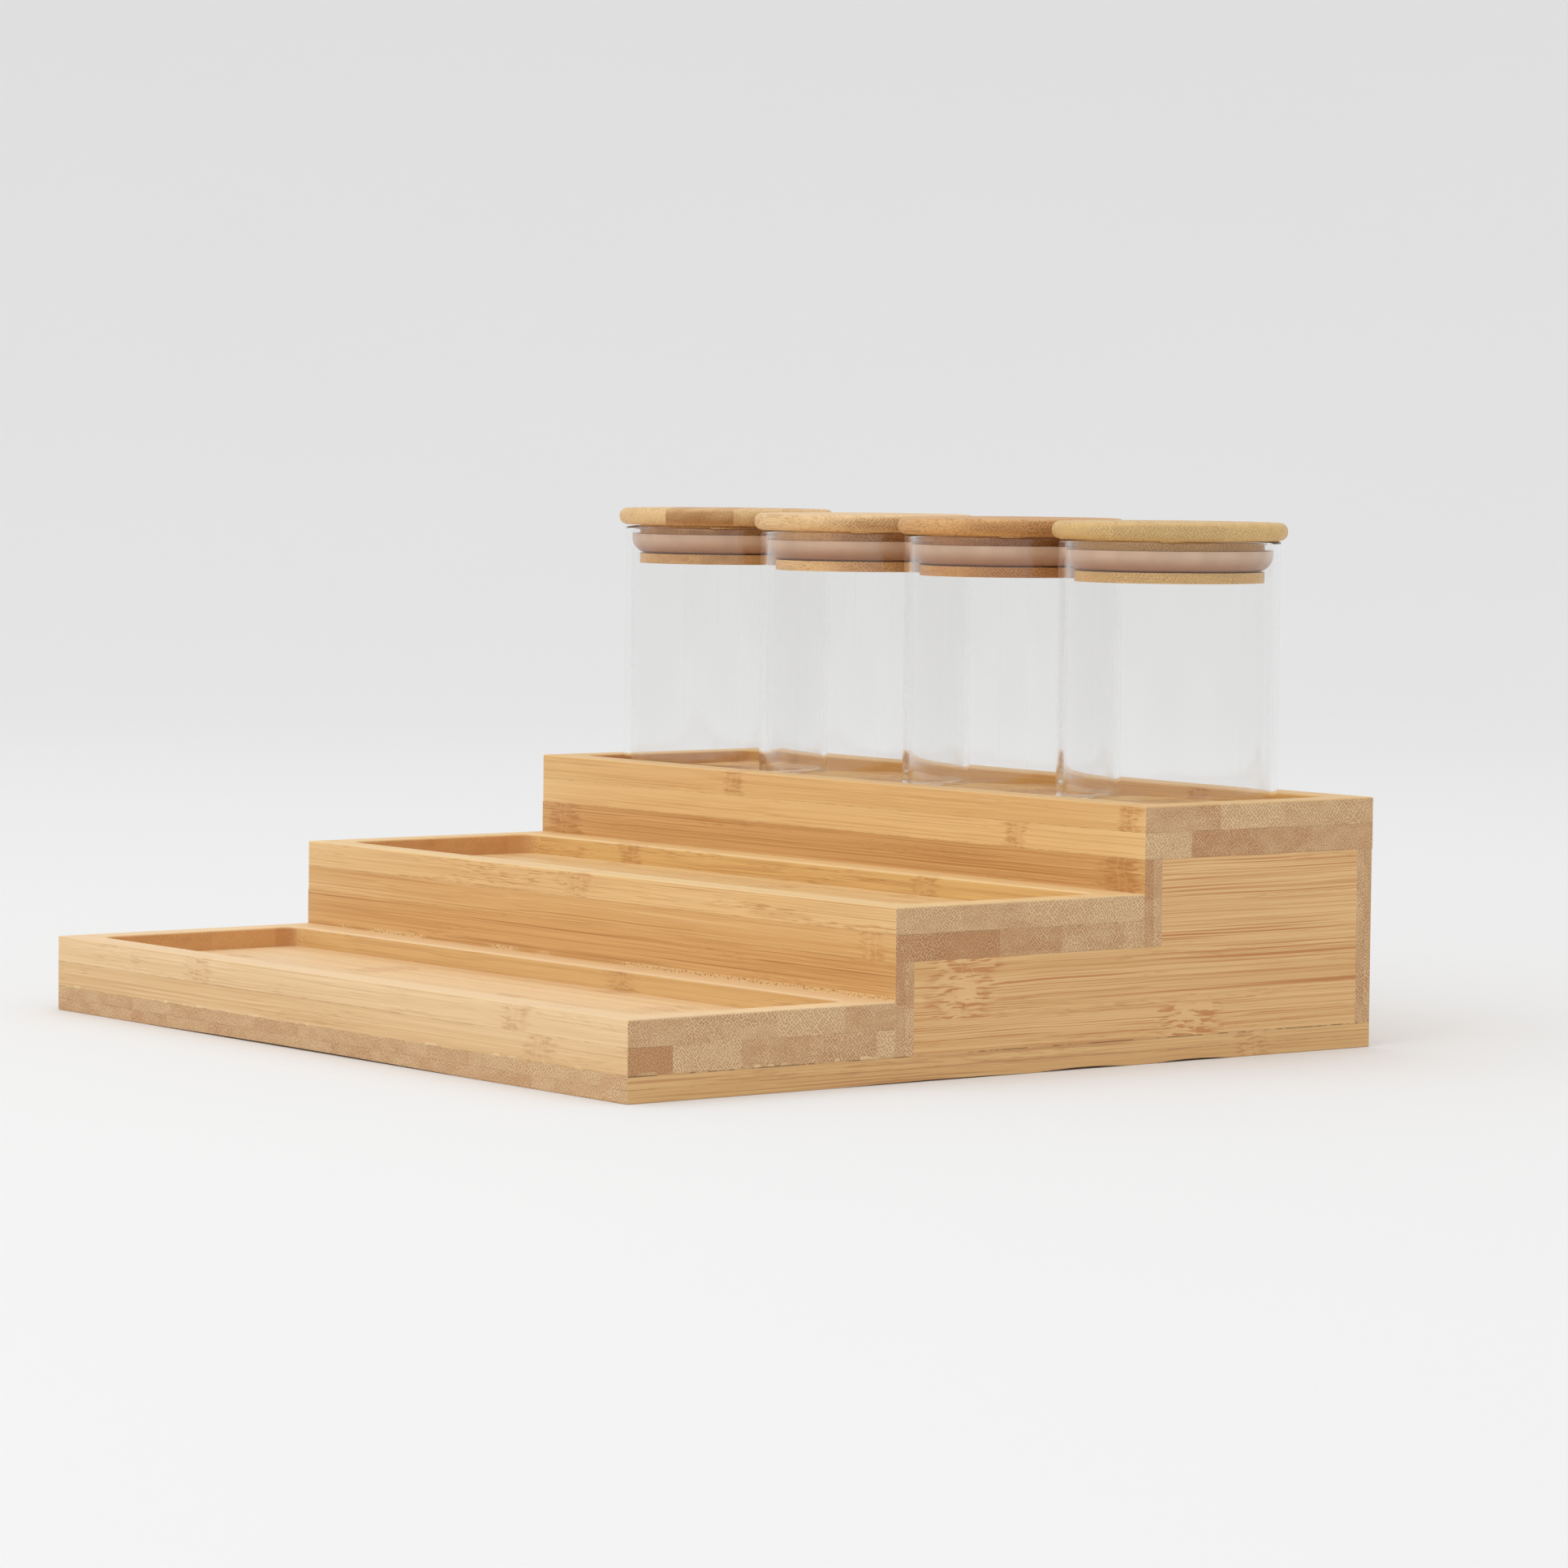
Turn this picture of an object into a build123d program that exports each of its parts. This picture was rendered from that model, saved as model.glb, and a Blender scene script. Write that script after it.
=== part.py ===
"""Three-tier stepped spice rack of glued bamboo boards, with four lidded glass jars on its top tier.

Millimetres, +Z up. The origin is the middle of the rack's footprint, on the surface that it stands on.
+X runs along the tiers and -Y is the front, where the lowest tier is.
"""

import os
from itertools import accumulate

from build123d import *

# Rack: footprint and boards
rack_width = 297.0
tier_depths = (90.5, 90.0, 88.0)
base_thickness = 7.4
plank_thickness = 15.2
riser_heights = (25.9, 24.9)
riser_thickness = 6.5
back_thickness = 6.0
side_thickness = 7.5
arris_radius = 0.4
riser_foot_radius = 1.4
notch_radius = 1.1

# Rack: shallow hollows in the underside, under the front edge and the right edge: from, to and height
hollow_reach = 9.0
front_hollow = (-105.0, 80.0, 0.55)
right_hollows = ((-66.0, 6.0, 0.4), (6.5, 42.0, 0.65), (50.5, 80.0, 0.65))

# Rack: the pocket milled into each tray
pocket_depth = 6.1
long_rim_width = 9.8
end_rim_width = 8.6
pocket_corner_radius = 5.5
pocket_edge_radius = 0.8

# Jars: turned outlines, where radii are from the jar's axis
jar_count = 4
jar_pitch = 71.4
jar_radius = 32.5
jar_height = 80.6
jar_wall = 2.0
jar_floor = 2.2
jar_push_up = 0.6
jar_foot_inner_radius = 24.0
jar_heel_radius = 3.0
jar_inner_heel_radius = 1.4
jar_rim_radius = 0.85
jar_setbacks = (-1.5, -1.0, -0.7, 0.0)

# Lids: one turned bamboo piece each, whose plug has a groove for the seal
lid_radius = 34.5
lid_thickness = 5.2
lid_edge_radius = 2.4
lid_gaps = (0.6, 0.05, 0.05, 0.05)
plug_radius = 27.8
plug_length = 12.3
plug_edge_radius = 0.5
groove_top = 2.9
groove_bottom = 9.2
groove_radius = 24.2

# Seals: a flared silicone ring in the groove of each plug
seal_clearance = 0.08
seal_groove_gap = 0.05
seal_foot_radius = 24.7
seal_lip_height = 0.9
seal_bulge = 0.30

# Places worked out from the dimensions above
rack_depth = sum(tier_depths)
front_y = -rack_depth / 2
tier_fronts = [front_y + offset for offset in accumulate((0.0, *tier_depths[:-1]))]
tray_undersides = list(accumulate((base_thickness, *riser_heights)))
back_inner_y = front_y + rack_depth - back_thickness
top_pocket_floor = tray_undersides[-1] + plank_thickness - pocket_depth
top_pocket_middle_y = tier_fronts[-1] + tier_depths[-1] / 2
jar_inner_radius = jar_radius - jar_wall


def board(width, low_y, high_y, low_z, high_z, middle_x=0.0):
    """A square-edged board between two depths and two heights."""
    middle = (middle_x, (low_y + high_y) / 2, (low_z + high_z) / 2)
    return Pos(*middle) * Box(width, high_y - low_y, high_z - low_z)


def hollow(plane, start, end, height):
    """A low arch to cut out of the underside, which reaches both ways from its plane."""
    with BuildSketch(plane) as outline:
        with BuildLine():
            arch = ThreePointArc((start, 0), ((start + end) / 2, height), (end, 0))
            Polyline(arch @ 1, (end, -1), (start, -1), arch @ 0)
        make_face()
    return extrude(outline.sketch, amount=hollow_reach, both=True)


def base_board():
    """The board under everything, with its lower arrises and upright corners eased, and hollow in places."""
    base = board(rack_width, front_y, front_y + rack_depth, 0.0, base_thickness)
    upright = base.edges().filter_by(Axis.Z)
    lower = base.faces().sort_by(Axis.Z)[0].edges()
    base = fillet(upright + lower, arris_radius)
    base -= hollow(Plane((0, front_y, 0), x_dir=(1, 0, 0), z_dir=(0, -1, 0)), *front_hollow)
    for place in right_hollows:
        base -= hollow(Plane((rack_width / 2, 0, 0), x_dir=(0, 1, 0), z_dir=(1, 0, 0)), *place)
    return base


def tray(tier):
    """A plank with a shallow pocket that has round corners and an eased edge."""
    low_z = tray_undersides[tier]
    high_z = low_z + plank_thickness
    depth = tier_depths[tier]
    low_y = tier_fronts[tier]
    plank = board(rack_width, low_y, low_y + depth, low_z, high_z)
    front_uprights = plank.edges().filter_by(Axis.Z).group_by(Axis.Y)[0]
    top_edges = plank.faces().sort_by(Axis.Z)[-1].edges()
    open_top_edges = top_edges if tier == len(tier_depths) - 1 else top_edges - top_edges.sort_by(Axis.Y)[-1:]
    plank = fillet(front_uprights + open_top_edges, arris_radius)

    pocket_size = (rack_width - 2 * end_rim_width, depth - 2 * long_rim_width)
    outline = RectangleRounded(*pocket_size, pocket_corner_radius)
    floor_z = high_z - pocket_depth
    plank -= Pos(0, low_y + depth / 2, floor_z) * extrude(outline, amount=pocket_depth + arris_radius)
    top_face = plank.faces().filter_by(Axis.Z).sort_by(Axis.Z)[-1]
    return fillet(top_face.inner_wires()[0].edges(), pocket_edge_radius)


def riser(tier):
    """The upright board behind a tray, which carries the front of the tray above."""
    low_y = tier_fronts[tier + 1]
    upright = board(
        rack_width, low_y, low_y + riser_thickness, tray_undersides[tier], tray_undersides[tier + 1]
    )
    if tier == 0:
        return upright
    rear_foot = upright.edges().filter_by(Axis.X).group_by(Axis.Z)[0].sort_by(Axis.Y)[-1]
    return fillet(rear_foot, riser_foot_radius)


def back_board():
    """The upright board that closes the rack behind."""
    back = board(rack_width, back_inner_y, front_y + rack_depth, base_thickness, tray_undersides[-1])
    rear_uprights = back.edges().filter_by(Axis.Z).group_by(Axis.Y)[-1]
    return fillet(rear_uprights, arris_radius)


def side_panel(side):
    """A stepped panel under the two upper trays, flush with the ends of the boards around it."""
    front = tier_fronts[1] + riser_thickness
    step = tier_fronts[2] + riser_thickness
    bottom, middle, top = tray_undersides
    with BuildSketch(Plane.YZ) as outline:
        with BuildLine():
            Polyline(
                (front, bottom), (back_inner_y, bottom), (back_inner_y, top),
                (step, top), (step, middle), (front, middle), close=True,
            )
        make_face()
        inner_corner = outline.vertices().group_by(Axis.X)[1].sort_by(Axis.Y)[0]
        fillet(inner_corner, notch_radius)
    panel = extrude(outline.sketch, amount=side_thickness / 2, both=True)
    return Pos(side * (rack_width - side_thickness) / 2, 0, 0) * panel


def turned(outline):
    """A solid of revolution about Z from an outline drawn with radius along X and height along Z."""
    return revolve(outline, Axis.Z)


def jar_glass():
    """A straight glass with a round rim, a heel and a pushed-up bottom, standing on Z = 0."""
    with BuildSketch(Plane.XZ) as outline:
        with BuildLine():
            Polyline(
                (0, jar_push_up), (jar_foot_inner_radius - jar_push_up, jar_push_up),
                (jar_foot_inner_radius, 0), (jar_radius, 0), (jar_radius, jar_height),
                (jar_inner_radius, jar_height), (jar_inner_radius, jar_floor), (0, jar_floor), close=True,
            )
        make_face()
        corners = outline.vertices()
        rim = corners.group_by(Axis.Y)[-1]
        heel = corners.group_by(Axis.Y)[0].sort_by(Axis.X)[-1:]
        fillet(rim, jar_rim_radius)
        fillet(heel, jar_heel_radius)
        corners = outline.vertices()
        inside_heel = corners.filter_by(lambda v: abs(v.Y - jar_floor) < 0.01 and v.X > 1)
        fillet(inside_heel, jar_inner_heel_radius)
    return turned(outline.sketch)


def lid():
    """A disc with a round edge over a grooved plug, with its seat on Z = 0."""
    with BuildSketch(Plane.XZ) as outline:
        with BuildLine():
            Polyline(
                (0, lid_thickness), (lid_radius, lid_thickness), (lid_radius, 0), (plug_radius, 0),
                (plug_radius, -groove_top), (groove_radius, -groove_top), (groove_radius, -groove_bottom),
                (plug_radius, -groove_bottom), (plug_radius, -plug_length), (0, -plug_length), close=True,
            )
        make_face()
        corners = outline.vertices()
        disc_edge = corners.group_by(Axis.X)[-1]
        plug_edge = corners.group_by(Axis.Y)[0].sort_by(Axis.X)[-1:]
        fillet(disc_edge, lid_edge_radius)
        fillet(plug_edge, plug_edge_radius)
    return turned(outline.sketch)


def seal():
    """A ring that sits in the plug's groove and flares up and out to the glass."""
    inner = groove_radius + seal_groove_gap
    outer = jar_inner_radius - seal_clearance
    top = -groove_top - seal_groove_gap
    foot = -groove_bottom + seal_groove_gap
    with BuildSketch(Plane.XZ) as outline:
        with BuildLine():
            lip = Line((inner, top), (outer, top))
            edge = Line(lip @ 1, (outer, top - seal_lip_height))
            flare = SagittaArc(edge @ 1, (seal_foot_radius, foot), (outer - seal_foot_radius) * seal_bulge)
            Polyline(flare @ 1, (inner, foot), (inner, top))
        make_face()
    return turned(outline.sketch)


def main():
    os.makedirs("parts", exist_ok=True)
    nodes = {
        "base_board": base_board(),
        "tray_lower": tray(0),
        "tray_middle": tray(1),
        "tray_upper": tray(2),
        "riser_lower": riser(0),
        "riser_upper": riser(1),
        "back_board": back_board(),
        "side_panel_left": side_panel(-1),
        "side_panel_right": side_panel(1),
    }
    glass, cover, ring = jar_glass(), lid(), seal()
    for index in range(jar_count):
        x = (index - (jar_count - 1) / 2) * jar_pitch
        y = top_pocket_middle_y + jar_setbacks[index]
        seat = top_pocket_floor + jar_height + lid_gaps[index]
        number = index + 1
        nodes[f"jar_{number}_glass"] = Pos(x, y, top_pocket_floor) * glass
        nodes[f"lid_{number}"] = Pos(x, y, seat) * cover
        nodes[f"lid_{number}_seal"] = Pos(x, y, seat) * ring
    for name, shape in nodes.items():
        export_step(shape, f"parts/{name}.step")


main()
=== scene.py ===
"""Looks for the stepped bamboo spice rack: bamboo, glass and silicone materials, studio light, sweep and camera."""

import math
import random

import bmesh
import bpy
from mathutils import Matrix, Vector


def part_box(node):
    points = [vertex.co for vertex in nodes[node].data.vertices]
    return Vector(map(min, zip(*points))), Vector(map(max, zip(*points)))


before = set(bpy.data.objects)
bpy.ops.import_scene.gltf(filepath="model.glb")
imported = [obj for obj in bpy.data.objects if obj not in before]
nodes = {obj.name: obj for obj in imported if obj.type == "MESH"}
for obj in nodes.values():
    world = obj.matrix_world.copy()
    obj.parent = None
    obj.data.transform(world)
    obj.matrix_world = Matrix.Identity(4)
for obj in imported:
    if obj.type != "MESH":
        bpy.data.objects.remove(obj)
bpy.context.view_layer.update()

MM = 1000.0
X, Y, Z = Vector((1, 0, 0)), Vector((0, 1, 0)), Vector((0, 0, 1))

# Camera: where it looks, from how far and from which side
AIM = Vector((0.01511, 0.01934, 0.07339))
DISTANCE = 1.70414
AZIMUTH = math.radians(52.5064)
ELEVATION = math.radians(3.4751)
ROLL = math.radians(0.5386)
LENS = 130.945
SENSOR = 36.0

# Studio: a round sweep with a flat floor, a glow from all round that is stronger overhead, and soft boxes
FLOOR_RADIUS = 2.0
SWEEP_RADIUS = 3.0
SWEEP_HEIGHT = 1.25
PAPER_SHADE = (0.83, 0.831, 0.831, 1.0)
KEY_SIZE = 2.2
KEY_POWER = 9.0
KEY_PLACE = Vector((-0.2, -0.4, 2.1))
FILL_SIZE = 1.6
FILL_POWER = 7.0
FILL_PLACE = Vector((0.5, -2.0, 0.9))
HORIZON_LIGHT = 0.70
ZENITH_LIGHT = 0.97

# The camera looks through the walls of four jars, so light paths need more turns than usual
LIGHT_PATHS = 40

# Bamboo colours as a picture shows them: each board's pale, honey and streak colours on long grain
TRAY_LOWER_COLOURS = ((240, 208, 162), (221, 182, 130), (190, 140, 92))
TRAY_MIDDLE_COLOURS = ((238, 204, 148), (214, 167, 104), (184, 124, 68))
TRAY_UPPER_COLOURS = ((236, 198, 138), (213, 165, 102), (184, 124, 66))
RISER_COLOURS = ((228, 186, 124), (204, 153, 92), (174, 112, 58))
SIDE_COLOURS = ((232, 192, 136), (211, 164, 104), (186, 116, 60))
BASE_COLOURS = ((224, 184, 128), (206, 158, 102), (178, 120, 70))
LID_COLOURS = (
    ((226, 190, 136), (192, 142, 86), (168, 112, 62)),
    ((236, 204, 156), (222, 184, 132), (176, 122, 70)),
    ((218, 172, 112), (186, 130, 74), (150, 96, 50)),
    ((218, 184, 122), (202, 162, 102), (178, 130, 74)),
)
LID_END_COLOURS = (
    ((228, 194, 142), (170, 122, 72), (188, 144, 92), (142, 98, 56)),
    ((226, 190, 139), (182, 134, 86), (152, 106, 60), (126, 82, 44)),
    ((198, 148, 92), (170, 116, 66), (120, 76, 42), (98, 60, 32)),
    ((216, 184, 128), (190, 158, 106), (164, 122, 70), (140, 102, 58)),
)
# The next tint is painted shade, darker and warmer, for a lid's plug
PLUG_SHADE_TINT = (1.03, 0.93, 0.72, 1.0)
# The next two tints are painted shade, for the end walls and the long walls of a tray's pockets
POCKET_END_SHADE = (0.94, 0.78, 0.6, 1.0)
POCKET_WALL_SHADE = (0.92, 0.86, 0.68, 1.0)
GLUE_CREAM = (232, 200, 148)
END_COLOURS = ((222, 188, 144), (196, 148, 102), (150, 108, 70), (126, 78, 46))
PIT_BROWN = (70, 48, 34)
# Brown of the painted crease shade where boards meet, of the glue lines between laminations, and of the glue crumbs
# at a riser's foot
SHADE_AND_GLUE_BROWN = (108, 78, 52)
CHIP_CREAM = (240, 214, 168)

# Knots in a strip, by their place along it in millimetres; these two lie beyond the ends of every board
NO_KNOTS = (-200.0, 500.0)

# A ramp's channels hold 0 to 1, so a knot's place along its board is stored as KNOT_START + share * KNOT_SPAN
KNOT_START = 0.1
KNOT_SPAN = 0.8

# Finer and coarser pores, as (spacing, radius); the radius is a share of the spacing
PORE_SIZES = ((0.66, 0.34), (0.78, 0.34), (0.92, 0.34))

# The plug and its flange are this share of a lid's height, and each lid's fibres are turned this many degrees
PLUG_SHARE = 0.703
LID_TURNS = (-40, -6, -14, -40)

# Strips of each lid, its plug then its disc
LID_STRIPS = (
    ([(24, 0.5, 0.5, NO_KNOTS), (50, 0.6, 0.5, NO_KNOTS)],
     [(16.5, 0.0, 0.0, NO_KNOTS), (22, 0.75, 0.0, NO_KNOTS), (40, 0.35, 0.0, NO_KNOTS)]),
    ([(20, 0.5, 0.5, NO_KNOTS), (50, 0.6, 0.5, NO_KNOTS)],
     [(24, 0.45, 0.5, NO_KNOTS), (26, 0.5, 0.6, NO_KNOTS), (30, 0.4, 0.5, NO_KNOTS)]),
    ([(32, 0.5, 0.55, NO_KNOTS), (50, 0.6, 0.5, NO_KNOTS)],
     [(24, 0.35, 0.5, NO_KNOTS), (22, 0.5, 0.8, NO_KNOTS), (30, 0.4, 0.5, NO_KNOTS)]),
    ([(14, 0.5, 0.5, NO_KNOTS), (50, 0.4, 0.5, NO_KNOTS)],
     [(17.4, 0.35, 0.35, NO_KNOTS), (32, 0.55, 0.1, NO_KNOTS), (30, 0.3, 0.25, NO_KNOTS)]),
)

# Strips of a board's two laminations, lower then upper, from the front or the left: width in mm, tone from
# pale to brown, pore size from fine to coarse, and the places of its knots in mm along the grain
STRIPS = {
    "tray_lower": (
        [(14.7, 0.95, 0.2, (257.0, 500.0)), (23, 0.15, 0.5, NO_KNOTS), (23.1, 0.5, 0.15, (60, 200)),
         (23.2, 0.45, 0.5, (120, 250)), (9, 0.1, 0.9, (70, 170))],
        [(3.6, 0.45, 0.3, (80.5, 245.0)), (23.5, 0.4, 0.35, (110, 260)), (22.5, 0.3, 0.5, (30, 175)),
         (23, 0.15, 0.7, (90, 230)), (20, 0.45, 0.3, (182, 500))],
    ),
    "tray_middle": (
        [(13.4, 0.75, 0.3, (286.4, -200.0)), (23.2, 0.9, 0.35, (40, 190)),
         (22.6, 0.6, 0.15, (130, 270)), (23.3, 0.4, 0.5, (90, 210)), (10, 0.35, 1.0, (60, 240))],
        [(23.4, 0.3, 0.35, (147.0, 500.0)), (23.4, 0.4, 0.1, (60, 200)), (23.5, 0.3, 1.0, (20, 160)),
         (22, 0.08, 0.4, (210, 62))],
    ),
    "tray_upper": (
        [(17.4, 0.12, 0.6, (239.6, -200.0)), (22.3, 0.75, 0.9, (80, 220)), (24, 0.6, 0.35, (20, 150)),
         (30, 0.5, 0.2, (100, 240))],
        [(28.4, 0.45, 0.35, (102.9, 290.0)), (24, 0.2, 0.95, (70, 210)), (40, 0.3, 0.45, (25, 232))],
    ),
    "riser_lower": (
        [(14, 0.5, 0.2, (38.0, 213.0)), (16, 0.65, 0.1, NO_KNOTS)],
        [(13, 0.3, 0.35, NO_KNOTS), (15, 0.5, 0.2, NO_KNOTS)],
    ),
    "riser_upper": (
        [(13, 0.6, 0.2, (8.0, 289.0)), (14, 0.75, 0.1, (12.0, 287.0))],
        [(14, 0.3, 0.4, NO_KNOTS), (14, 0.45, 0.3, NO_KNOTS)],
    ),
    "back_board": (
        [(24, 0.5, 0.3, (60.0, 220.0)), (28, 0.35, 0.5, (140.0, 270.0))],
        [(22, 0.4, 0.4, (95.0, 250.0)), (30, 0.55, 0.2, (30.0, 180.0))],
    ),
    "side_panel_right": (
        [(9.3, 0.5, 0.3, (102.5, 500.0)), (18.5, 0.55, 0.4, (17.5, 500.0)), (25, 0.35, 0.4, NO_KNOTS)],
    ),
    "side_panel_left": (
        [(12, 0.4, 0.3, (40.0, 500.0)), (19, 0.55, 0.4, (128.0, 500.0)), (25, 0.4, 0.4, (75.0, -200.0))],
    ),
    "base_board": (
        [(19, 0.46, 0.1, (50, 190)), (23, 0.37, 0.2, (110, 240)), (21, 0.51, 0.1, (30, 170)),
         (24, 0.34, 0.1, (80, 220)), (20, 0.48, 0.2, (140, 10)), (22, 0.4, 0.1, (60, 200)),
         (23, 0.32, 0.1, (100, 250)), (21, 0.51, 0.2, (20, 160)), (24, 0.37, 0.1, (130, 260)),
         (34.8, 0.43, 0.15, (90, 210)), (21, 0.48, 0.1, (40, 180)), (9.5, 0.23, 0.3, (70, 230)),
         (38, 0.4, 0.15, (223.0, 500.0))],
        [(24, 0.37, 0.1, (70, 210)), (20, 0.46, 0.05, (120, 250)), (22, 0.29, 0.2, (45, 185)),
         (25, 0.48, 0.1, (90, 230)), (21, 0.4, 0.2, (20, 150)), (23, 0.51, 0.1, (110, 260)),
         (20, 0.34, 0.1, (60, 200)), (24, 0.43, 0.2, (135, 15)), (22, 0.37, 0.1, (80, 220)),
         (20.6, 0.46, 0.1, (30, 170)), (20.3, 0.32, 0.15, (100, 240)), (20.4, 0.34, 1.2, (50, 190)),
         (21.4, 0.29, 0.1, (125, 265)), (20, 0.43, 0.1, (222.0, 500.0))],
    ),
}


def linear(colour):
    """A colour of 0 to 255 as the linear light that shaders take."""
    def channel(value):
        share = value / 255
        return share / 12.92 if share <= 0.04045 else ((share + 0.055) / 1.055) ** 2.4
    return (*(channel(value) for value in colour), 1.0)


class Shader:
    """One material under construction, with short calls that add a node and hand back its output."""

    def __init__(self, name):
        self.material = bpy.data.materials.new(name)
        self.material.use_nodes = True
        self.tree = self.material.node_tree
        self.tree.nodes.clear()

    def put(self, socket, value):
        if isinstance(value, bpy.types.NodeSocket):
            self.tree.links.new(value, socket)
        else:
            socket.default_value = value

    def node(self, kind, inputs=(), **settings):
        made = self.tree.nodes.new("ShaderNode" + kind)
        for name, value in settings.items():
            setattr(made, name, value)
        for key, value in dict(inputs).items():
            self.put(made.inputs[key], value)
        return made

    def math(self, operation, *values):
        made = self.node("Math", operation=operation)
        for socket, value in zip(made.inputs, values):
            self.put(socket, value)
        return made.outputs[0]

    def add(self, a, b):
        return self.math("ADD", a, b)

    def sub(self, a, b):
        return self.math("SUBTRACT", a, b)

    def mul(self, a, b):
        return self.math("MULTIPLY", a, b)

    def ease(self, value, low, high, to_low=0.0, to_high=1.0):
        """value from low to high, eased to the range given and held outside it."""
        inputs = {"Value": value, "From Min": low, "From Max": high, "To Min": to_low, "To Max": to_high}
        return self.node("MapRange", inputs, interpolation_type="SMOOTHSTEP").outputs[0]

    def vector(self, x, y, z):
        return self.node("CombineXYZ", {"X": x, "Y": y, "Z": z}).outputs[0]

    def dot(self, vector, axis):
        made = self.node("VectorMath", operation="DOT_PRODUCT")
        self.put(made.inputs[0], vector)
        self.put(made.inputs[1], tuple(axis))
        return made.outputs["Value"]

    def noise(self, vector, detail=2.0, rough=0.5):
        inputs = {"Vector": vector, "Scale": 1.0, "Detail": detail, "Roughness": rough}
        return self.node("TexNoise", inputs).outputs["Fac"]

    def mix(self, share, a, b, blend="MIX"):
        made = self.node("Mix", data_type="RGBA", blend_type=blend)
        for index, value in ((0, share), (6, a), (7, b)):
            self.put(made.inputs[index], value)
        return made.outputs[2]

    def steps(self, place, stops):
        """The colour of the last stop at or before place, where stops are (place, colour)."""
        made = self.node("ValToRGB", {"Fac": place})
        ramp = made.color_ramp
        ramp.interpolation = "CONSTANT"
        while len(ramp.elements) < len(stops):
            ramp.elements.new(1.0)
        for element, (start, colour) in zip(ramp.elements, stops):
            element.position = start
            element.color = colour
        return made

    def finish(self, surface):
        output = self.node("OutputMaterial")
        self.tree.links.new(surface, output.inputs["Surface"])
        return self.material


def strip_stops(layer, width, length, seed):
    """A lamination's strips as ramp stops: the colour holds tone, pore size and two knot places, as shares.

    layer is a list of strips as in STRIPS, or an average width for strips drawn at random.
    """
    rng = random.Random(seed)
    if not isinstance(layer, list):
        layer = [
            (layer * rng.uniform(0.85, 1.15), rng.uniform(0.1, 0.8), rng.uniform(0.0, 1.0), NO_KNOTS)
            for _ in range(math.ceil(width / layer) + 1)
        ]
    stops, place = [], 0.0
    for strip_width, tone, pores, knots in layer:
        if place < width:
            shares = (min(max(knot / length * KNOT_SPAN + KNOT_START, 0.0), 1.0) for knot in knots)
            stops.append((place / width, (tone, pores, *shares)))
        place += strip_width
    return stops


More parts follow.
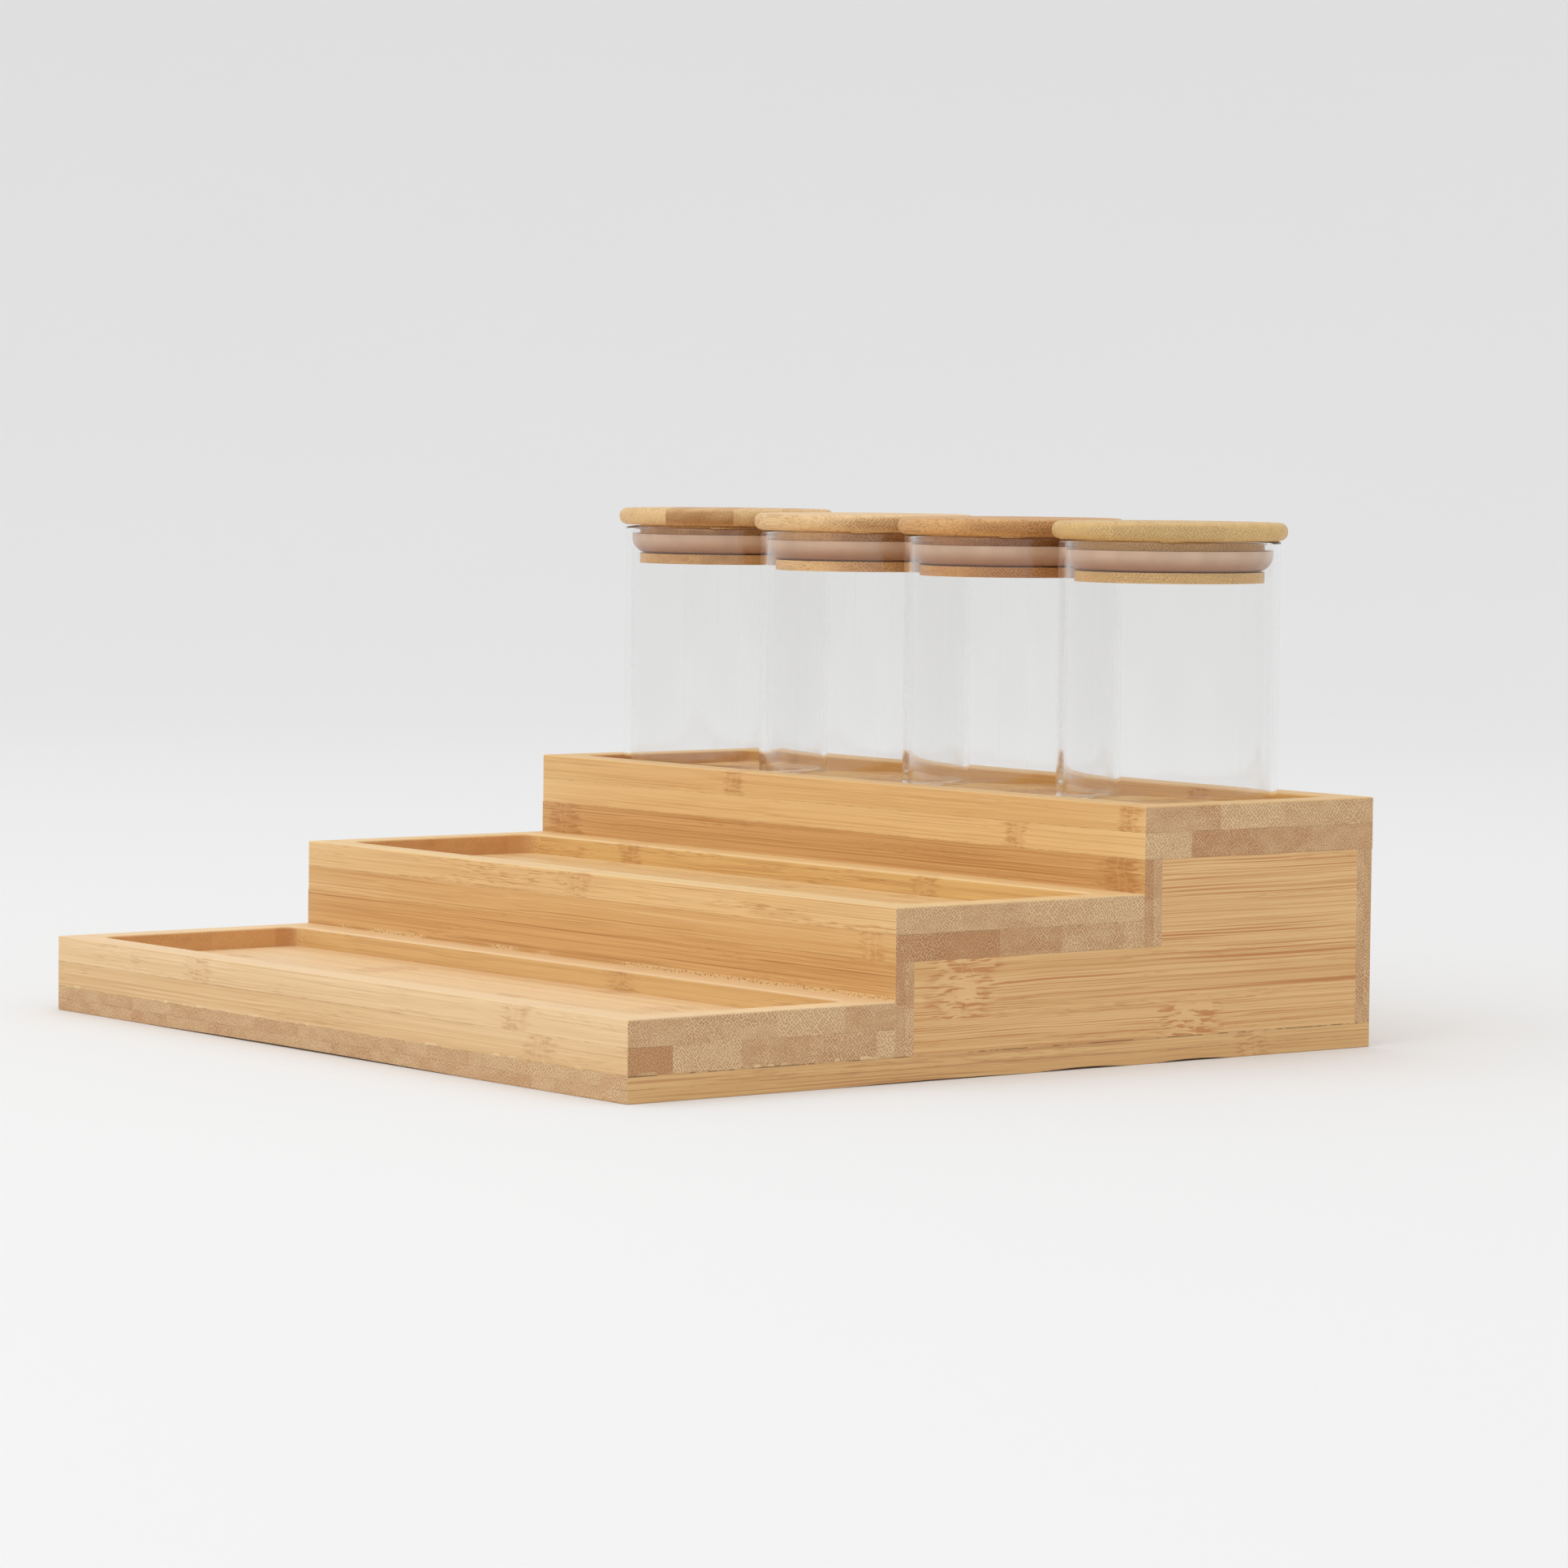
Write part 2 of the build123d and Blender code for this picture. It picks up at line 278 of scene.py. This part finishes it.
class Bamboo(Shader):
    """Laminated bamboo as a solid texture: fibres run along one axis, strips lie side by side across it and
    laminations are stacked on the third. Faces across the fibres show pores, and the others show long grain."""

    def __init__(self, name, box, along, across, stack, layers, seed, colours, split=0.5, knot=4.0, joints=(1, 0),
                 contrast=0.5, flecks=0.4, chips=0.0, ends=END_COLOURS, lower_tint=None, inner_tint=POCKET_END_SHADE,
                 painted_highlight_and_pocket_shade=False, grain=0.5, marks=0.3, burn=0.0, foot=None):
        super().__init__(name)
        self.seed, self.knot, self.contrast, self.flecks, self.chips = seed, knot, contrast, flecks, chips
        self.split, self.lower_tint, self.inner_tint, self.painted_highlight_and_pocket_shade = split, lower_tint, inner_tint, painted_highlight_and_pocket_shade
        self.grain, self.marks, self.burn, self.foot = grain, marks, burn, foot
        self.pale, self.honey, self.streak = (linear(colour) for colour in colours)
        self.end_pale, self.end_brown, self.pore_pale, self.pore_brown = (linear(colour) for colour in ends)
        coordinates = self.node("TexCoord")
        position, normal = coordinates.outputs["Object"], coordinates.outputs["Normal"]
        spans = [sorted(corner.dot(axis) * MM for corner in box) for axis in (along, across, stack)]
        self.u, self.v, self.w = (
            self.sub(self.mul(self.dot(position, axis), MM), ends[0])
            for axis, ends in zip((along, across, stack), spans)
        )
        self.length, self.width, self.height = (ends[1] - ends[0] for ends in spans)
        self.end_share = self.ease(self.math("ABSOLUTE", self.dot(normal, along)), 0.45, 0.85)
        self.edge_share = self.ease(self.math("ABSOLUTE", self.dot(normal, stack)), 0.5, 0.2)
        self.read_strips(layers, split)
        self.read_crease_shade_glue_and_chips(layers, split, joints)
        self.surface()

    def read_strips(self, layers, split):
        """Tone and pore size of the strip at this place, and the distance to its nearest knot."""
        place = self.math("DIVIDE", self.v, self.width)
        ramps = [
            self.steps(place, strip_stops(layer, self.width, self.length, self.seed + index))
            for index, layer in enumerate(layers)
        ]
        colour, last = ramps[0].outputs["Color"], ramps[0].outputs["Alpha"]
        if len(ramps) > 1:
            upper = self.math("GREATER_THAN", self.w, self.height * split)
            colour = self.mix(upper, colour, ramps[1].outputs["Color"])
            last = self.node("MapRange", {0: upper, 3: last, 4: ramps[1].outputs["Alpha"]}).outputs[0]
        parts = self.node("SeparateColor", {"Color": colour}).outputs
        self.tone, self.pores = parts["Red"], parts["Green"]
        self.strip_seed = self.add(self.mul(self.tone, 37.0), self.mul(self.pores, 91.0))
        fibre = self.vector(self.mul(self.u, 0.03), self.mul(self.v, 1.0), self.mul(self.w, 1.0))
        lean = self.vector(self.seed, self.mul(self.v, 0.12), self.mul(self.w, 0.12))
        wander = self.mul(self.sub(self.noise(lean, 1.0), 0.5), self.knot)
        jitter = self.mul(self.sub(self.noise(fibre, 1.0), 0.5), self.knot * 2.4)
        gaps, lines = [], []
        for knot in (parts["Blue"], last):
            middle = self.mul(self.sub(knot, KNOT_START), self.length / KNOT_SPAN)
            off = self.sub(self.u, self.add(middle, wander))
            lines.append(self.math("ABSOLUTE", off))
            gaps.append(self.math("ABSOLUTE", self.sub(off, jitter)))
        self.knot_gap = self.math("MINIMUM", *gaps)
        self.ring_gap = self.math("MINIMUM", *lines)

    def read_crease_shade_glue_and_chips(self, layers, split, joints):
        """Dark broken lines of painted shade in the crease where a board's face meets the next board, glue lines
        between its laminations, and pale chips of glue beside them."""
        low, high = joints
        broken = self.noise(self.vector(self.mul(self.u, 0.11), self.mul(self.v, 0.11), self.seed), 3.0, 0.6)
        # Painted shade: a dark broken line along the bottom edge (low) and the top edge (high) of a board's faces,
        # where they meet the next board
        line = self.ease(self.w, 0.3, 0.12, 0.0, 0.85 * low)
        over = self.ease(self.sub(self.height, self.w), 0.38, 0.16, 0.0, high)
        over = self.mul(over, self.sub(1.0, self.end_share))
        line = self.math("MAXIMUM", line, over)
        line = self.mul(line, self.ease(broken, 0.46, 0.54, 0.2, 1.1))
        if len(layers) > 1:
            middle = self.math("ABSOLUTE", self.sub(self.w, self.height * split))
            inner = self.mul(self.ease(middle, 0.15, 0.04), self.ease(broken, 0.45, 0.62, 0.12, 0.6))
            line = self.math("MAXIMUM", line, inner)
        self.crease_shade_and_glue = self.mul(line, self.edge_share)
        flecks = self.noise(self.vector(self.mul(self.u, 0.13), self.mul(self.v, 0.13), self.seed + 3.0), 1.0, 0.6)
        start = 0.62 - 0.07 * self.chips
        reach = self.ease(flecks, start, start + 0.04, 0.4, 0.75)
        chip = self.mul(self.ease(flecks, start, start + 0.008), self.ease(self.sub(self.w, reach), 0.08, -0.08))
        place = self.vector(self.mul(self.u, 0.02), self.mul(self.v, 0.02), self.seed + 9.0)
        chip = self.mul(chip, self.ease(self.noise(place, 1.0), 0.44, 0.56))
        self.chip = self.mul(self.mul(chip, self.edge_share), 0.6 if self.chips else 0.0)

    def fibres(self, along, across, detail=1.0, rough=0.5, shift=0.0):
        """Noise drawn out along the grain: one wave is about along by across millimetres."""
        place = self.vector(
            self.add(self.mul(self.u, 1 / along), self.strip_seed),
            self.add(self.mul(self.v_wavy, 1 / across), shift),
            self.add(self.mul(self.w_wavy, 1 / across), self.seed),
        )
        return self.noise(place, detail, rough)

    def patches(self, along, across, shift):
        """Noise for where something is found, in patches of about along by across millimetres."""
        place = self.vector(
            self.add(self.mul(self.u, 1 / along), self.strip_seed),
            self.add(self.mul(self.v, 1 / across), shift),
            self.add(self.mul(self.w, 1 / across), self.seed),
        )
        return self.noise(place, 1.0)

    def long_grain(self):
        """Fine streaks along the fibres, and at each knot short marks on a paler ground."""
        size = self.knot
        knot = self.ease(self.knot_gap, size * 1.9, size * 0.9)
        core = self.ease(self.knot_gap, size * 1.25, size * 0.95)
        slow = self.noise(self.vector(self.mul(self.u, 0.016), self.mul(self.v, 0.05), self.mul(self.w, 0.05)), 1.0)
        swirl_place = self.vector(self.mul(self.u, 0.9 / size), self.mul(self.v, 0.33), self.mul(self.w, 0.33))
        swirl = self.mul(self.sub(self.noise(swirl_place, 1.0), 0.5), self.mul(knot, 0.9 + 0.08 * size))
        drift = self.mul(self.sub(slow, 0.5), 1.4)
        self.v_wavy = self.add(self.v, self.add(drift, swirl))
        self.w_wavy = self.add(self.w, self.add(self.mul(drift, 0.6), swirl))

        bands = self.fibres(260.0, 4.0, shift=11.0)
        hairs = self.fibres(60.0, 0.3, 2.0, 0.6)
        dark = self.ease(self.fibres(240.0, self.grain, 1.0, shift=5.0), 0.55, 0.62)
        faint = self.ease(self.fibres(110.0, self.grain * 0.6, 1.0, shift=61.0), 0.54, 0.62)
        light = self.ease(self.fibres(200.0, self.grain * 1.2, 1.0, shift=23.0), 0.55, 0.63)
        dashes = self.ease(self.fibres(7.0, 0.4, 1.0, shift=31.0), 0.55, 0.63)
        busy = self.ease(self.patches(90.0, 6.0, 41.0), 0.35, 0.62, 0.35, 1.0)
        flecked = self.ease(self.patches(70.0, 5.0, 53.0), 0.6 - 0.2 * self.flecks, 0.72 - 0.2 * self.flecks)
        if self.flecks > 0.5:
            flecked = self.mul(flecked, self.math("GREATER_THAN", self.w, self.height * self.split))
        plain = self.sub(1.0, self.mul(core, 0.8))

        tone = self.add(self.mul(self.tone, 0.7), self.mul(self.sub(bands, 0.5), 0.9))
        tone = self.add(tone, self.add(self.mul(self.sub(hairs, 0.5), 0.7), 0.12))
        colour = self.mix(self.ease(tone, 0.0, 1.0), self.pale, self.honey)
        colour = self.mix(self.mul(self.mul(light, plain), 0.15 + 0.6 * self.contrast), colour, self.pale)
        colour = self.mix(self.mul(self.mul(faint, plain), 0.5 * self.contrast), colour, self.streak)
        colour = self.mix(self.mul(self.mul(dark, plain), self.mul(busy, self.contrast)), colour, self.streak)
        colour = self.mix(self.mul(self.mul(dashes, flecked), self.flecks * 0.8), colour, self.streak)

        short = self.vector(self.mul(self.u, 0.13), self.mul(self.v_wavy, 1.5), self.mul(self.w_wavy, 1.5))
        stroke = self.mul(self.ease(self.noise(short, 1.0), 0.52, 0.58), knot)
        patch = self.vector(self.mul(self.u, 0.13), self.mul(self.v, 0.3), self.mul(self.w, 0.3))
        smudge = self.mul(self.ease(self.noise(patch, 1.0), 0.52, 0.64), self.sub(knot, self.mul(core, 0.7)))
        wiggle = self.noise(self.vector(self.mul(self.v, 0.7), self.mul(self.w, 0.7), self.seed), 1.0)
        ring = self.ease(self.math("ABSOLUTE", self.sub(self.ring_gap, self.mul(wiggle, 3.0))), 0.5, 0.2)
        pit_place = self.vector(self.mul(self.u, 0.16), self.mul(self.v, 0.16), self.mul(self.w, 0.16))
        pits = self.node("TexVoronoi", {"Vector": pit_place, "Scale": 1.0}).outputs["Distance"]
        pit = self.mul(self.ease(pits, 0.05, 0.03), core)
        colour = self.mix(self.mul(core, 0.4 if self.marks > 0.6 else 0.05), colour, self.pale)
        colour = self.mix(self.mul(core, self.burn), colour, self.streak)
        colour = self.mix(self.mul(smudge, self.marks * 0.7), colour, self.streak)
        colour = self.mix(self.mul(stroke, self.marks), colour, self.streak)
        colour = self.mix(self.mul(self.mul(ring, core), 0.2), colour, self.pale)
        colour = self.mix(self.mul(pit, self.marks), colour, linear(PIT_BROWN))
        if self.foot is not None:
            crumbs = self.noise(self.vector(self.mul(self.u, 1.1), self.mul(self.v, 1.4), self.seed), 2.0)
            found = self.ease(self.noise(self.vector(self.mul(self.u, 0.03), 0.0, self.seed), 1.0), 0.48, 0.56)
            found = self.math("MAXIMUM", found, self.ease(self.u, 150.0, 190.0))
            near = self.ease(self.sub(self.v, self.foot), 1.5, 0.8)
            crumb = self.mul(self.mul(self.ease(crumbs, 0.42, 0.5), near), found)
            shade = self.mul(self.mul(self.ease(crumbs, 0.42, 0.36), near), found)
            colour = self.mix(self.mul(crumb, 0.9), colour, linear(GLUE_CREAM))
            colour = self.mix(self.mul(shade, 0.25), colour, linear(SHADE_AND_GLUE_BROWN))
        height = self.sub(self.mul(hairs, 0.6), self.add(self.mul(dark, 0.25), self.mul(stroke, 0.5)))
        return colour, self.sub(height, pit)

    def pore_dots(self, spacing, radius):
        """Dark dots in a loose diagonal lattice."""
        diagonal = math.sqrt(0.5) / spacing
        tall = self.mul(self.w, 0.95)
        place = self.vector(
            self.mul(self.add(self.v_bent, tall), diagonal), self.mul(self.sub(self.v_bent, tall), diagonal), 0.0
        )
        cells = self.node(
            "TexVoronoi", {"Vector": place, "Scale": 1.0, "Randomness": 0.45}, voronoi_dimensions="2D"
        )
        return self.ease(cells.outputs["Distance"], radius + 0.1, radius - 0.1)

    def end_grain(self):
        """Pores: dark dots, small and close on one side of a strip and large and spaced on the other."""
        bend = self.noise(self.vector(self.mul(self.v, 0.11), self.mul(self.w, 0.2), self.strip_seed), 1.0)
        self.v_bent = self.add(self.v, self.add(self.mul(bend, 3.0), self.strip_seed))
        side = self.noise(self.vector(self.mul(self.v, 0.06), self.mul(self.w, 0.1), self.strip_seed), 1.0)
        coarse = self.add(self.pores, self.mul(self.sub(side, 0.5), 1.2))
        fine_dot, middle_dot, large_dot = (
            self.pore_dots(spacing, radius) for spacing, radius in PORE_SIZES
        )
        dot = self.add(
            self.mul(fine_dot, self.ease(coarse, 0.42, 0.3, 0.0, 0.8)),
            self.mul(middle_dot, self.mul(self.ease(coarse, 0.3, 0.42), self.ease(coarse, 0.76, 0.64))),
        )
        dot = self.add(dot, self.mul(large_dot, self.ease(coarse, 0.64, 0.76)))
        smudge_place = self.vector(self.mul(self.v, 0.16), self.mul(self.w, 0.3), self.add(self.strip_seed, 7.0))
        smudge = self.noise(smudge_place, 2.0)
        tone = self.add(self.tone, self.mul(self.sub(smudge, 0.5), 0.7))
        colour = self.mix(self.ease(tone, 0.0, 1.0), self.end_pale, self.end_brown)
        strength = self.ease(coarse, 0.2, 1.0, 0.66, 0.48)
        if self.inner_tint:
            strength = self.mul(strength, self.ease(self.from_ends, 1.0, 2.0, 1.0, 0.3))
        pore = self.mix(self.ease(tone, 0.0, 1.0), self.pore_pale, self.pore_brown)
        colour = self.mix(self.mul(dot, strength), colour, pore)
        return colour, self.mul(dot, -0.6)

    def surface(self):
        """Long grain and end grain joined by which way the face looks, then painted shade and highlight, glue lines,
        chips, roughness and relief.
        """
        self.from_ends = self.math("MINIMUM", self.u, self.sub(self.length, self.u))
        self.from_sides = self.math("MINIMUM", self.v, self.sub(self.width, self.v))
        long_colour, long_height = self.long_grain()
        end_colour, end_height = self.end_grain()
        # Painted shade: end-grain walls of a tray's pockets, away from the board's ends, are tinted darker
        if self.inner_tint:
            pocket_end_shaded = self.mix(1.0, end_colour, self.inner_tint, "MULTIPLY")
            end_colour = self.mix(self.ease(self.from_ends, 1.0, 2.0), end_colour, pocket_end_shaded)
        colour = self.mix(self.end_share, long_colour, end_colour)
        # Painted shade and highlight: the long walls of a tray's pockets are tinted darker, and the tray's top 0.7
        # mm, its rim tops and their edges, is mixed towards pale as a painted highlight
        if self.painted_highlight_and_pocket_shade:
            wall = self.mul(self.edge_share, self.sub(1.0, self.end_share))
            inside = self.mul(self.ease(self.from_sides, 1.0, 2.0), wall)
            colour = self.mix(inside, colour, self.mix(1.0, colour, POCKET_WALL_SHADE, "MULTIPLY"))
            top = self.ease(self.sub(self.height, self.w), 0.7, 0.15, 0.0, 0.55)
            colour = self.mix(top, colour, self.pale)
        # Painted shade: a lid's plug, below the split, is tinted darker and warmer, as it sits under the disc inside
        # the jar
        if self.lower_tint:
            tinted = self.mix(1.0, colour, self.lower_tint, "MULTIPLY")
            colour = self.mix(self.math("LESS_THAN", self.w, self.height * self.split), colour, tinted)
        colour = self.mix(self.chip, colour, linear(CHIP_CREAM))
        # Painted crease shade where boards meet, with the glue lines between laminations
        colour = self.mix(self.mul(self.crease_shade_and_glue, 0.75), colour, linear(SHADE_AND_GLUE_BROWN))
        height = self.add(
            self.mul(self.sub(1.0, self.end_share), long_height), self.mul(self.end_share, end_height)
        )
        height = self.add(self.sub(height, self.crease_shade_and_glue), self.chip)
        bump = self.node("Bump", {"Strength": 0.35, "Distance": 0.0001, "Height": height})
        inputs = {
            "Base Color": colour,
            "Roughness": self.ease(height, -0.8, 0.6, 0.64, 0.48),
            "Normal": bump.outputs[0],
            "Specular IOR Level": 0.35,
        }
        self.finish(self.node("BsdfPrincipled", inputs).outputs[0])


def dress(names, material):
    """Gives one material to CAD nodes."""
    for name in names:
        slots = nodes[name].material_slots
        for slot in slots:
            slot.material = material


def bamboo_boards():
    """A material for each board, with its fibres, strips and knots."""
    boards = {
        "tray_lower": (X, Y, Z, TRAY_LOWER_COLOURS, {
            "joints": (0.5, 0), "knot": 4.5, "marks": 0.45, "burn": 0.15, "contrast": 0.3, "chips": 1.0,
            "painted_highlight_and_pocket_shade": True}),
        "tray_middle": (X, Y, Z, TRAY_MIDDLE_COLOURS, {
            "joints": (0.25, 0), "contrast": 0.45, "flecks": 0.6, "marks": 0.4, "burn": 0.15, "painted_highlight_and_pocket_shade": True}),
        "tray_upper": (X, Y, Z, TRAY_UPPER_COLOURS, {
            "joints": (0.4, 0), "knot": 3.5, "contrast": 0.3, "flecks": 0.2, "marks": 0.5, "burn": 0.25,
            "painted_highlight_and_pocket_shade": True}),
        "riser_lower": (X, Z, Y, RISER_COLOURS, {"joints": (0, 0), "contrast": 0.6, "foot": 15.2}),
        "riser_upper": (X, Z, Y, RISER_COLOURS, {
            "joints": (0, 0), "knot": 6.0, "contrast": 0.5, "marks": 0.5, "burn": 0.3}),
        "back_board": (X, Z, Y, RISER_COLOURS, {"joints": (0, 0), "knot": 6.0, "contrast": 0.6}),
        "side_panel_right": (Y, Z, X, SIDE_COLOURS, {
            "joints": (0, 0), "knot": 7.5, "contrast": 0.75, "grain": 0.62, "marks": 0.7}),
        "side_panel_left": (Y, Z, X, SIDE_COLOURS, {
            "joints": (0, 0), "knot": 7.5, "contrast": 0.75, "grain": 0.62, "marks": 0.7}),
        "base_board": (Y, X, Z, BASE_COLOURS, {"joints": (0, 1), "grain": 0.6, "marks": 0.5}),
    }
    for index, (name, (along, across, stack, colours, finish)) in enumerate(boards.items()):
        bamboo = Bamboo(
            name + "_bamboo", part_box(name), along, across, stack, STRIPS[name],
            10.0 + 7.0 * index, colours, **finish
        )
        dress([name], bamboo.material)


def bamboo_lids():
    """A material for each lid, whose fibres run their own way."""
    for index, turn in enumerate(LID_TURNS):
        name = f"lid_{index + 1}"
        along = Matrix.Rotation(math.radians(turn), 3, "Z") @ X
        across = Z.cross(along)
        low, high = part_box(name)
        middle, half = (low + high) / 2, (high - low) / 2
        reach = along * half.x + across * half.y + Z * half.z
        bamboo = Bamboo(
            name + "_bamboo", (middle - reach, middle + reach), along, across, Z, LID_STRIPS[index],
            80.0 + 7.0 * index, LID_COLOURS[index], split=PLUG_SHARE, joints=(0, 0), ends=LID_END_COLOURS[index],
            lower_tint=PLUG_SHADE_TINT, inner_tint=None,
        )
        dress([name], bamboo.material)


def glass():
    """Clear thin glass with a faint draw of its wall, which lets lamps and bounced light through."""
    shader = Shader("jar_glass")
    position = shader.node("TexCoord").outputs["Object"]
    stretch = shader.node("Mapping", {"Vector": position, "Scale": (40.0, 40.0, 5.0)}).outputs[0]
    draw = shader.noise(stretch, 1.0)
    bump = shader.node("Bump", {"Strength": 0.012, "Distance": 0.0004, "Height": draw}).outputs[0]
    inputs = {
        "Base Color": (0.972, 0.970, 0.967, 1.0),
        "Roughness": 0.0,
        "IOR": 1.47,
        "Specular IOR Level": 0.2,
        "Transmission Weight": 1.0,
        "Normal": bump,
    }
    solid = shader.node("BsdfPrincipled", inputs).outputs[0]
    clear = shader.node("BsdfTransparent", {"Color": (0.985, 0.983, 0.98, 1.0)}).outputs[0]
    paths = shader.node("LightPath").outputs
    lighting = shader.math("MAXIMUM", paths["Is Shadow Ray"], paths["Is Diffuse Ray"])
    mixed = shader.node("MixShader", {0: lighting, 1: solid, 2: clear}).outputs[0]
    return shader.finish(mixed)


def silicone():
    """Taupe silicone, a little cloudy and darker at its foot by painted shade, with faint streaks where it is pressed
    to the glass.
    """
    shader = Shader("seal_silicone")
    position = shader.node("TexCoord").outputs["Object"]
    cloud = shader.noise(shader.node("Mapping", {"Vector": position, "Scale": (160.0, 160.0, 60.0)}).outputs[0])
    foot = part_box("lid_4_seal")[0].z * MM
    rise = shader.sub(shader.mul(shader.dot(position, Z), MM), foot)
    colour = shader.mix(shader.ease(cloud, 0.3, 0.7), linear((214, 182, 154)), linear((202, 170, 142)))
    # Painted shade: the seal darkens towards its foot
    colour = shader.mix(shader.ease(rise, 5.5, 0.8, 0.0, 0.9), colour, linear((166, 118, 86)))
    inputs = {
        "Base Color": colour,
        "Roughness": shader.ease(cloud, 0.3, 0.7, 0.4, 0.55),
        "Subsurface Weight": 0.15,
        "Subsurface Radius": (0.004, 0.003, 0.002),
        "Subsurface Scale": 1.0,
    }
    return shader.finish(shader.node("BsdfPrincipled", inputs).outputs[0])


def sweep():
    """A round floor that curves up into a low wall on every side."""
    turns = 40
    last = math.acos(1 - SWEEP_HEIGHT / SWEEP_RADIUS)
    profile = [(0.0, 0.0), (FLOOR_RADIUS, 0.0)]
    for step in range(1, turns + 1):
        angle = last * step / turns
        profile.append(
            (FLOOR_RADIUS + SWEEP_RADIUS * math.sin(angle), SWEEP_RADIUS * (1 - math.cos(angle)))
        )
    mesh = bmesh.new()
    points = [mesh.verts.new((radius, 0.0, height)) for radius, height in profile]
    edges = [mesh.edges.new(pair) for pair in zip(points, points[1:])]
    bmesh.ops.spin(
        mesh, geom=points + edges, axis=Z, cent=(0, 0, 0), angle=2 * math.pi, steps=128, use_merge=True
    )
    bmesh.ops.remove_doubles(mesh, verts=mesh.verts, dist=1e-5)
    bmesh.ops.recalc_face_normals(mesh, faces=mesh.faces)
    data = bpy.data.meshes.new("studio_sweep")
    mesh.to_mesh(data)
    mesh.free()
    data.polygons.foreach_set("use_smooth", [True] * len(data.polygons))
    made = bpy.data.objects.new("studio_sweep", data)
    bpy.context.scene.collection.objects.link(made)
    shader = Shader("sweep_paper")
    position = shader.node("TexCoord").outputs["Object"]
    mottle = shader.noise(shader.node("Mapping", {"Vector": position, "Scale": (3.0, 3.0, 3.0)}).outputs[0])
    colour = shader.mix(shader.ease(mottle, 0.3, 0.7, 0.0, 0.01), PAPER_SHADE, (0.5, 0.5, 0.5, 1.0))
    data.materials.append(
        shader.finish(shader.node("BsdfPrincipled", {"Base Color": colour, "Roughness": 0.9}).outputs[0])
    )


def soft_box(name, place, size, power, colour=(1.0, 1.0, 1.0)):
    """A square area light that faces the rack."""
    light = bpy.data.lights.new(name, "AREA")
    light.shape = "SQUARE"
    light.size = size
    light.energy = power
    light.color = colour
    made = bpy.data.objects.new(name, light)
    made.location = place
    made.rotation_euler = (AIM - place).to_track_quat("-Z", "Y").to_euler()
    bpy.context.scene.collection.objects.link(made)


def camera():
    """The camera, a long lens low down at the rack's front right."""
    back = Vector((
        math.sin(AZIMUTH) * math.cos(ELEVATION), -math.cos(AZIMUTH) * math.cos(ELEVATION), math.sin(ELEVATION)
    ))
    right = Vector((math.cos(AZIMUTH), math.sin(AZIMUTH), 0.0))
    up = back.cross(right)
    rolled_right = math.cos(ROLL) * right + math.sin(ROLL) * up
    rolled_up = math.cos(ROLL) * up - math.sin(ROLL) * right
    data = bpy.data.cameras.new("camera")
    data.lens = LENS
    data.sensor_width = SENSOR
    made = bpy.data.objects.new("camera", data)
    turn = Matrix((rolled_right, rolled_up, back)).transposed().to_4x4()
    made.matrix_world = Matrix.Translation(AIM + back * DISTANCE) @ turn
    bpy.context.scene.collection.objects.link(made)
    bpy.context.scene.camera = made


def surroundings():
    """An even pale glow from all round, and colours shown as they are."""
    world = bpy.data.worlds.new("surroundings")
    world.use_nodes = True
    tree = world.node_tree
    direction = tree.nodes.new("ShaderNodeTexCoord").outputs["Generated"]
    rise = tree.nodes.new("ShaderNodeSeparateXYZ")
    glow = tree.nodes.new("ShaderNodeMapRange")
    glow.inputs["To Min"].default_value = HORIZON_LIGHT
    glow.inputs["To Max"].default_value = ZENITH_LIGHT
    tree.links.new(direction, rise.inputs[0])
    tree.links.new(rise.outputs["Z"], glow.inputs["Value"])
    background = tree.nodes["Background"]
    background.inputs["Color"].default_value = (1.0, 1.0, 1.0, 1.0)
    tree.links.new(glow.outputs[0], background.inputs["Strength"])
    scene = bpy.context.scene
    scene.world = world
    scene.cycles.max_bounces = LIGHT_PATHS
    scene.cycles.transmission_bounces = LIGHT_PATHS
    scene.cycles.transparent_max_bounces = LIGHT_PATHS
    scene.cycles.glossy_bounces = LIGHT_PATHS // 2
    scene.view_settings.view_transform = "Standard"
    scene.view_settings.look = "None"


camera()
surroundings()
sweep()
soft_box("key_light", KEY_PLACE, KEY_SIZE, KEY_POWER)
soft_box("fill_light", FILL_PLACE, FILL_SIZE, FILL_POWER)
bamboo_boards()
bamboo_lids()
dress([f"jar_{number}_glass" for number in range(1, 5)], glass())
dress([f"lid_{number}_seal" for number in range(1, 5)], silicone())
